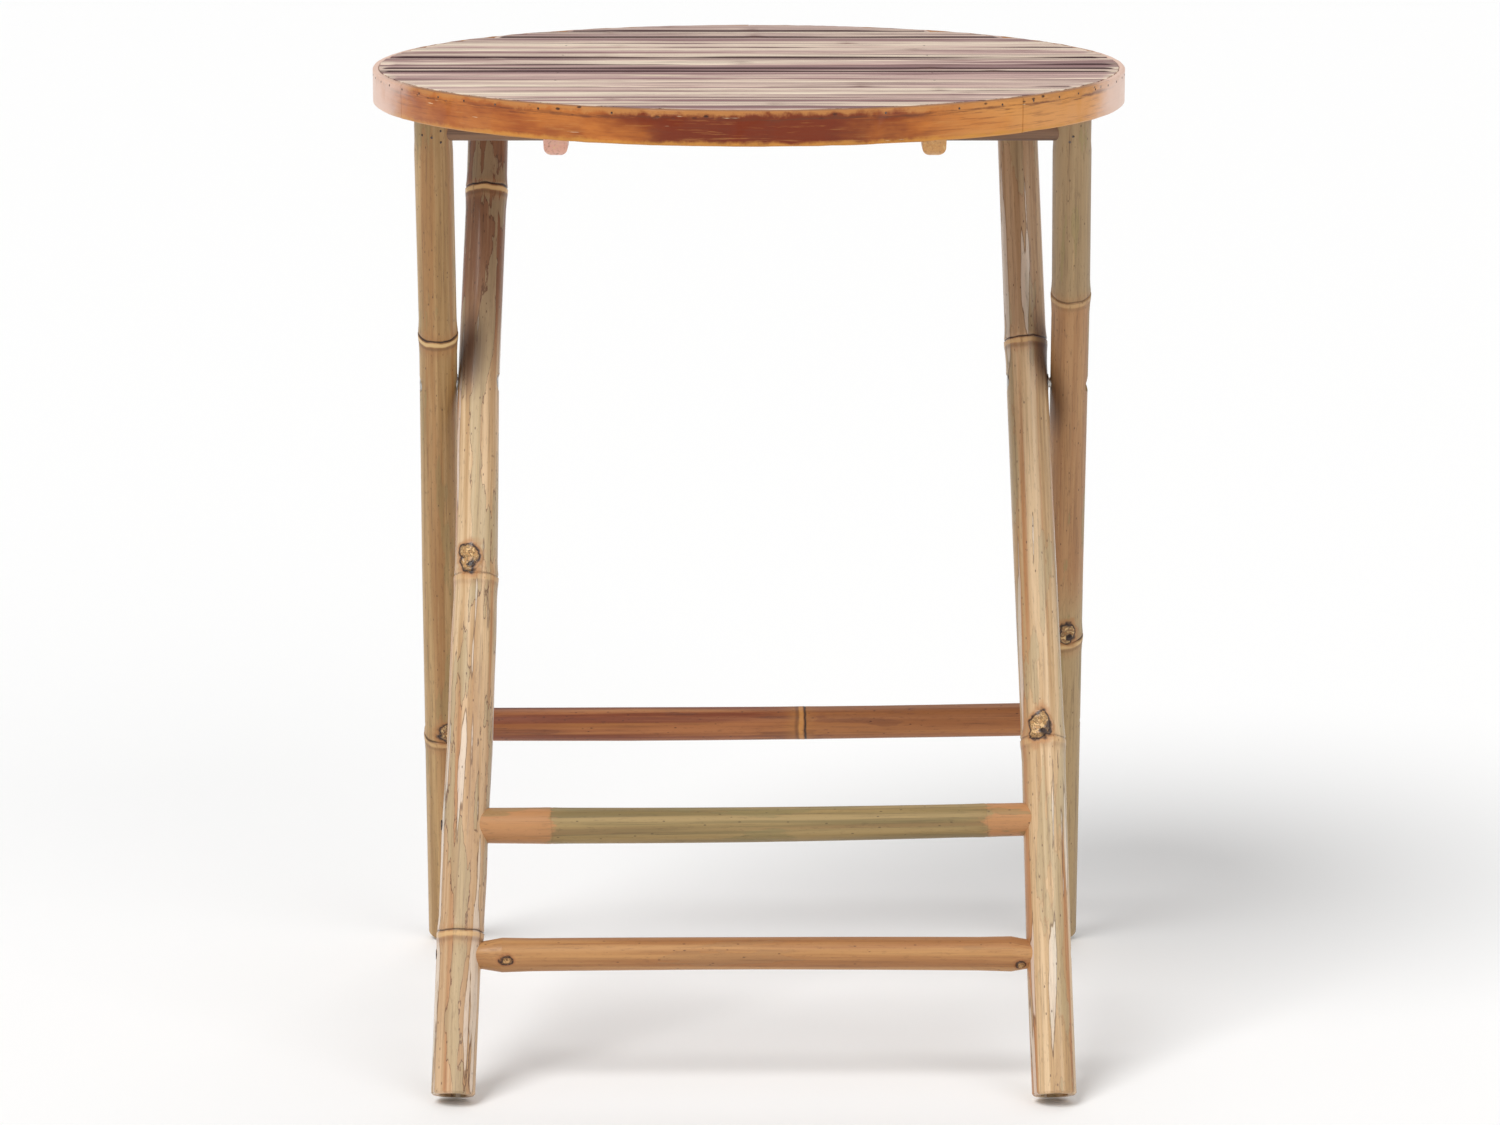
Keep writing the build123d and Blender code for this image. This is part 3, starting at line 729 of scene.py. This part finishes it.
def makeSlats():
    finish = slatFinish()
    slats = sorted(n for n in frame["nodes"] if n.startswith("slat_") and "brads" not in n)
    rows = slatShape["rows"] + 1
    for index, node in enumerate(slats):
        rng = random.Random(100 + index)
        low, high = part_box(node)
        middle = (low + high) / 2
        deselectAll()
        bpy.ops.mesh.primitive_cube_add(size=1, location=(0, middle.y, middle.z))
        piece = bpy.context.active_object
        piece.scale = (high.x - low.x, high.y - low.y, high.z - low.z)
        bpy.ops.object.transform_apply(location=True, rotation=True, scale=True)
        points = piece.data.vertices

        def runsAlong(edge, axis):
            a, b = [points[v].co for v in edge.vertices]
            return abs(a[axis] - b[axis]) > 0.9 * (high[axis] - low[axis])

        for axis, cuts in ((0, slatShape["steps"]), (1, slatShape["rows"])):
            if selectWhere(piece, "EDGE", lambda edge: runsAlong(edge, axis)):
                bpy.ops.mesh.subdivide(number_cuts=cuts)
            closeMesh()
        nodeX = rng.uniform(-0.75, 0.75) * high.x
        # a dark front edge, painted shade of the slat's front wall, and a pale back edge, a painted highlight, each
        # coming and going along the slat
        frontDeep, backDeep = [
            max([how for seam, how in slatShape["deepSeams"] if abs(y - seam) < slatShape["deepReach"]], default=0.0)
            for y in (low.y, high.y)
        ]
        darkEdge = easing(rng, low.x, high.x, slatShape["stainEvery"], rng.uniform(0.2, 0.9))
        paleEdge = easing(rng, low.x, high.x, slatShape["stainEvery"], rng.uniform(0.3, 1.0))
        drop = easing(rng, low.x, high.x, slatShape["stainEvery"], 0.4)
        shade = rng.uniform(0.0, 1.0)
        ridges = [rng.uniform(0, slatShape["ridge"]) for _ in range(rows + 1)]
        spread = {key: piece.data.attributes.new(key, "FLOAT", "POINT") for key in ("tone", "stain", "nodeMark")}
        for vertex in piece.data.vertices:
            x = vertex.co.x
            row = round((vertex.co.y - low.y) / (high.y - low.y) * rows)
            near = max(0.0, 1 - abs(x - nodeX) / slatShape["nodeReach"])
            fromFront, fromBack = row / rows, 1 - row / rows
            dark = darkEdge(x) * 0.7 + frontDeep
            stain = dark * max(0.0, 1 - fromFront / 0.30) - paleEdge(x) * max(0.0, 1 - abs(fromBack - 0.2) / 0.2)
            for key, value in (("tone", shade), ("stain", stain), ("nodeMark", near)):
                spread[key].data[vertex.index].value = value
            if vertex.co.z > middle.z:
                onEdge = row in (0, rows)
                vertex.co.z -= ridges[row] * (1 - near)
                if onEdge:
                    vertex.co.z -= slatShape["edgeDrop"] * (0.5 + drop(x))
                vertex.co.z -= slatShape["deepDrop"] * backDeep * max(0.0, 1 - fromBack / 0.34) ** 1.5
            if row in (0, rows):
                inward = -1 if row else 1
                vertex.co.y += inward * rng.uniform(0, slatShape["waver"])
        # the ends follow the round of the top
        deselectAll()
        bpy.ops.mesh.primitive_cylinder_add(vertices=180, radius=topInnerRadius, depth=0.1, location=(0, 0, middle.z))
        disc = bpy.context.active_object
        bpy.ops.object.transform_apply(location=True, rotation=True, scale=True)
        carve(piece, disc, "INTERSECT")
        smooth(piece, 25)
        settle(piece, node + "_strip", "tabletop", finish, "slat_bamboo", node)


# strips of the bent rim: seams and steps are in degrees round the top, the rest in metres
rim = {"thickness": 0.005, "seams": (-46.0, 90.0, 206.0), "gap": 0.0006, "round": 0.0011, "step": 2.0, "chip": 0.00045,
       "skin": 0.0004}
topRadius = max(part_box("rim_strip_right")[1].x, -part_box("rim_strip_left")[0].x)
topInnerRadius = topRadius - rim["thickness"] - 0.0003


def rimFinish():
    f = Finish("rim_bamboo")
    where = f.objectPlace()
    x, z = f.along(where, 0), f.along(where, 2)
    low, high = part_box("rim_strip_front")
    share = (z - low.z) * (1 / (high.z - low.z))
    cloud = f.noise(where, (13, 13, 34), 4, 0.6)
    streak = f.noise(where, (22, 22, 520), 4, 0.7, (2, 1, 3))
    ragged = f.noise(where, (60, 60, 60), 4, 0.7, (4, 4, 4)) - 0.5
    # amber varnish, darkest over the middle of the front
    middle = x.ridge(0.010, 0.20)
    golden = (x + (cloud - 0.5) * 0.2).rise(0.10, 0.20)
    colour = f.blend(cloud.rise(0.36, 0.62), (0.54, 0.175, 0.034), (0.36, 0.090, 0.018))
    colour = f.blend(golden * 0.78, colour, (0.76, 0.350, 0.098))
    colour = f.blend((middle + (cloud - 0.5) * 1.1).rise(0.15, 0.75) * 0.95, colour, (0.165, 0.022, 0.006))
    colour = f.blend(streak.rise(0.50, 0.70) * 0.5, colour, (0.17, 0.045, 0.018))
    colour = f.blend((1 - streak.rise(0.30, 0.44)) * 0.40, colour, (0.60, 0.27, 0.075))
    # the varnish is worn through to golden wood along both edges
    upper = (share + ragged * 0.60).rise(0.80, 0.98)
    lower = 1 - (share + ragged * 0.30).rise(0.04, 0.17)
    colour = f.blend(upper * 0.8, colour, (0.55, 0.240, 0.070))
    colour = f.blend(lower * 0.85, colour, (0.62, 0.270, 0.050))
    crown = share.rise(0.955, 0.990)
    colour = f.blend(crown * 0.75, colour, (0.30, 0.140, 0.065))
    shadow = (share + ragged * 0.2).ridge(0.76, 0.09) * streak.rise(0.40, 0.56)
    colour = f.blend(shadow * 0.75, colour, (0.13, 0.040, 0.018))
    pits = f.spots(where, (95, 95, 190), 0.24, (3, 3, 3)) * share.rise(0.70, 0.85)
    pits = pits * f.noise(where, (28, 28, 28), 2, 0.5).rise(0.46, 0.56)
    colour = f.blend(pits * 0.9, colour, (0.045, 0.016, 0.010))
    scuff = f.noise(where, (28, 28, 420), 3, 0.6, (9, 3, 1)).rise(0.70, 0.74)
    colour = f.blend(scuff * 0.8, colour, (0.85, 0.66, 0.42))
    # painted reflection: the rim is paler at the left and right, where it is seen edge-on
    grazingSheen = (x.math("ABSOLUTE") + (cloud - 0.5) * 0.05).rise(0.247, 0.282)
    colour = f.blend(grazingSheen * 0.88, colour, (0.86, 0.61, 0.50))
    rough = 0.30 + streak * 0.2 + upper * 0.15
    height = streak * 0.4 - pits - upper * 0.5
    return f.close(colour, rough, f.bump(height, 0.0006, 0.7), coat=0.12, coatRough=0.18, shine=0.2)


def makeRim():
    finish = rimFinish()
    spans = dict(zip(("right", "left", "front"), zip(rim["seams"], (*rim["seams"][1:], rim["seams"][0] + 360))))
    for name, (first, last) in spans.items():
        rng = random.Random(len(name))
        node = "rim_strip_" + name
        low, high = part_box(node)
        halfGap = math.degrees(rim["gap"] / 2 / topRadius)
        outer = topRadius - rim["skin"]
        inner = topRadius - rim["thickness"]
        deselectAll()
        bpy.ops.mesh.primitive_plane_add(size=1)
        piece = bpy.context.active_object
        centre = Vector(((outer + inner) / 2, 0, (low.z + high.z) / 2))
        piece.matrix_world = (
            Matrix.Rotation(math.radians(first + halfGap), 4, "Z")
            @ Matrix.Translation(centre)
            @ Matrix.Rotation(math.radians(90), 4, "X")
            @ Matrix.Diagonal((outer - inner, high.z - low.z, 1, 1))
        )
        bpy.ops.object.transform_apply(location=True, rotation=True, scale=True)
        bpy.ops.object.mode_set(mode="EDIT")
        bpy.ops.mesh.select_all(action="SELECT")
        bpy.ops.mesh.bevel(offset=rim["round"], segments=3, affect="VERTICES")
        angle = -math.radians(last - first - 2 * halfGap)
        steps = int((last - first) / rim["step"])
        bpy.ops.mesh.select_all(action="SELECT")
        bpy.ops.mesh.spin(steps=steps, angle=angle, center=(0, 0, 0), axis=(0, 0, 1), use_auto_merge=False)
        closeMesh()
        openMesh(piece)
        bpy.ops.mesh.select_all(action="SELECT")
        bpy.ops.mesh.remove_doubles(threshold=0.00002)
        bpy.ops.mesh.normals_make_consistent(inside=False)
        closeMesh()
        # worn upper and lower outer edges
        for vertex in piece.data.vertices:
            reach = math.hypot(vertex.co.x, vertex.co.y)
            atEdge = reach > outer - rim["round"] and min(high.z - vertex.co.z, vertex.co.z - low.z) < rim["round"]
            if atEdge:
                worn = 1 - rng.uniform(0, rim["chip"]) / reach
                vertex.co.x *= worn
                vertex.co.y *= worn
                vertex.co.z += rng.uniform(-1, 0) * rim["chip"] * (1 if vertex.co.z > centre.z else -1)
        smooth(piece, 40)
        settle(piece, node + "_bent", "tabletop", finish, "rim_bamboo", node)


def plainBamboo(name, pale, base, dark, scale, coat=0.15):
    f = Finish(name)
    where = f.objectPlace()
    streak = f.noise(where, scale, 4, 0.65)
    cloud = f.noise(where, tuple(c * 0.12 for c in scale), 3, 0.5, (3, 5, 1))
    colour = f.blend(cloud.rise(0.35, 0.65), pale, base)
    colour = f.blend(streak.rise(0.48, 0.68) * 0.6, colour, dark)
    return f.close(colour, 0.4 + streak * 0.2, f.bump(streak, 0.0004, 0.5), coat=coat)


def metalFinish(name, bright, rust, rustFrom):
    f = Finish(name)
    where = f.objectPlace()
    cloud = f.noise(where, (600, 600, 600), 4, 0.65)
    worn = cloud.rise(rustFrom, rustFrom + 0.15)
    colour = f.blend(worn, bright, rust)
    return f.close(colour, 0.35 + worn * 0.4, f.bump(cloud, 0.0002, 0.4), metallic=1 - worn)


def bearerFinish():
    f = Finish("bearer_wood")
    where = f.objectPlace()
    streak = f.noise(where, (330, 9, 330), 4, 0.65)
    side = f.along(where, 0).rise(-0.05, 0.05)
    colour = f.blend(side, (0.76, 0.410, 0.310), (0.62, 0.320, 0.110))
    colour = f.blend(streak.rise(0.52, 0.66) * 0.6, colour, (0.26, 0.105, 0.060))
    colour = f.blend((1 - streak.rise(0.34, 0.44)) * 0.6, colour, (0.76, 0.560, 0.260))
    return f.close(colour, 0.42 + streak * 0.2, f.bump(streak, 0.0004, 0.5), coat=0.1)


def makeBearers():
    finish = bearerFinish()
    for side in sides:
        node = "bearer_" + side
        piece = copyOf(frame["nodes"][node], node + "_planed")
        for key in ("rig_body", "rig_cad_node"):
            if key in piece:
                del piece[key]
        piece.parent = None
        openMesh(piece)
        bpy.ops.mesh.select_all(action="SELECT")
        bpy.ops.mesh.remove_doubles(threshold=0.00001)
        bpy.ops.mesh.dissolve_limited(angle_limit=math.radians(1))
        closeMesh()
        applyModifier(piece, "BEVEL", width=0.0006, segments=2, limit_method="ANGLE", angle_limit=math.radians(50))
        smooth(piece, 30)
        settle(piece, node + "_planed", "tabletop", finish, "bearer_wood", node)


def finishCadNodes():
    rail = plainBamboo("rail_bamboo", (0.24, 0.130, 0.072), (0.16, 0.085, 0.050), (0.06, 0.030, 0.020), (9, 500, 500))
    plug = plainBamboo("plug_wood", (0.60, 0.42, 0.24), (0.50, 0.33, 0.18), (0.30, 0.18, 0.09), (20, 600, 600))
    nail = metalFinish("steel_nail", (0.16, 0.13, 0.12), (0.035, 0.018, 0.012), 0.42)
    pivot = metalFinish("pivot_steel", (0.50, 0.48, 0.45), (0.20, 0.11, 0.06), 0.60)
    byEnd = {"top_rail": rail, "plugs": plug, "screws": nail}
    for name, node in frame["nodes"].items():
        if "brads" in name:
            chosen = nail
        elif name.startswith("pivot_"):
            chosen = pivot
        else:
            chosen = next((m for end, m in byEnd.items() if name.endswith(end)), None)
        if chosen:
            node.data.materials.clear()
            node.data.materials.append(chosen)


# solid legs come before the stretchers, which are coped against them
legPieces = makeLegs()
for leg in legPieces.values():
    leg["solid"] = copyOf(leg["piece"], "cutter")
    place(leg["solid"], leg["matrix"])
    hollowEnds(leg["piece"], leg["length"])
print("legs grown")
makeStretchers(legPieces)
print("stretchers coped")
for leg in legPieces.values():
    bpy.data.objects.remove(leg["solid"])
finishLegs(legPieces)
print("legs finished")
makeSlats()
print("slats laid")
makeRim()
print("rim bent")
makeBearers()
finishCadNodes()
print("finishes on")

stageLook = {
    "floor": (0.96, 0.96, 0.957), "floorSize": 60.0, "sky": 0.42,
    # name: direction it comes from (bearing from the front, height above the floor), strength, softness in degrees
    "lamps": {"key": (-38, 52, 1.75, 28), "fill": (34, 30, 0.65, 40), "rear": (170, 55, 0.35, 40)},
}


def setStage():
    deselectAll()
    bpy.ops.mesh.primitive_plane_add(size=stageLook["floorSize"], location=(0, 0, -0.0004))
    floor = bpy.context.active_object
    bpy.ops.object.transform_apply(location=True, rotation=True, scale=True)
    floor.name = "floor"
    floor.data.materials.append(Finish("floor_paint").close(stageLook["floor"], 0.8, shine=0.1))
    world = bpy.data.worlds.new("studio")
    world.use_nodes = True
    world.node_tree.nodes["Background"].inputs["Color"].default_value = (1, 1, 1, 1)
    world.node_tree.nodes["Background"].inputs["Strength"].default_value = stageLook["sky"]
    bpy.context.scene.world = world
    for name, (bearing, height, strength, softness) in stageLook["lamps"].items():
        light = bpy.data.lights.new(name, "SUN")
        light.energy = strength
        light.angle = math.radians(softness)
        lamp = bpy.data.objects.new(name, light)
        bpy.context.scene.collection.objects.link(lamp)
        turn, tilt = math.radians(bearing), math.radians(height)
        towards = Vector((math.sin(turn) * math.cos(tilt), -math.cos(turn) * math.cos(tilt), math.sin(tilt)))
        lamp.location = towards * 5
        lamp.rotation_euler = towards.to_track_quat("Z", "Y").to_euler()


# distance and height are from the middle of the top's floor point, in metres
cameraLook = {"distance": 4.06, "height": 1.227, "across": 0.0009, "pitch": 11.906, "lens": 126.55}


def setCamera():
    data = bpy.data.cameras.new("camera")
    data.lens = cameraLook["lens"]
    data.sensor_width = 36.0
    camera = bpy.data.objects.new("camera", data)
    bpy.context.scene.collection.objects.link(camera)
    camera.location = (cameraLook["across"], -cameraLook["distance"], cameraLook["height"])
    camera.rotation_euler = (math.radians(90 - cameraLook["pitch"]), 0, 0)
    bpy.context.scene.camera = camera


setStage()
setCamera()
bpy.context.scene.view_settings.view_transform = "Standard"
print("stage set")
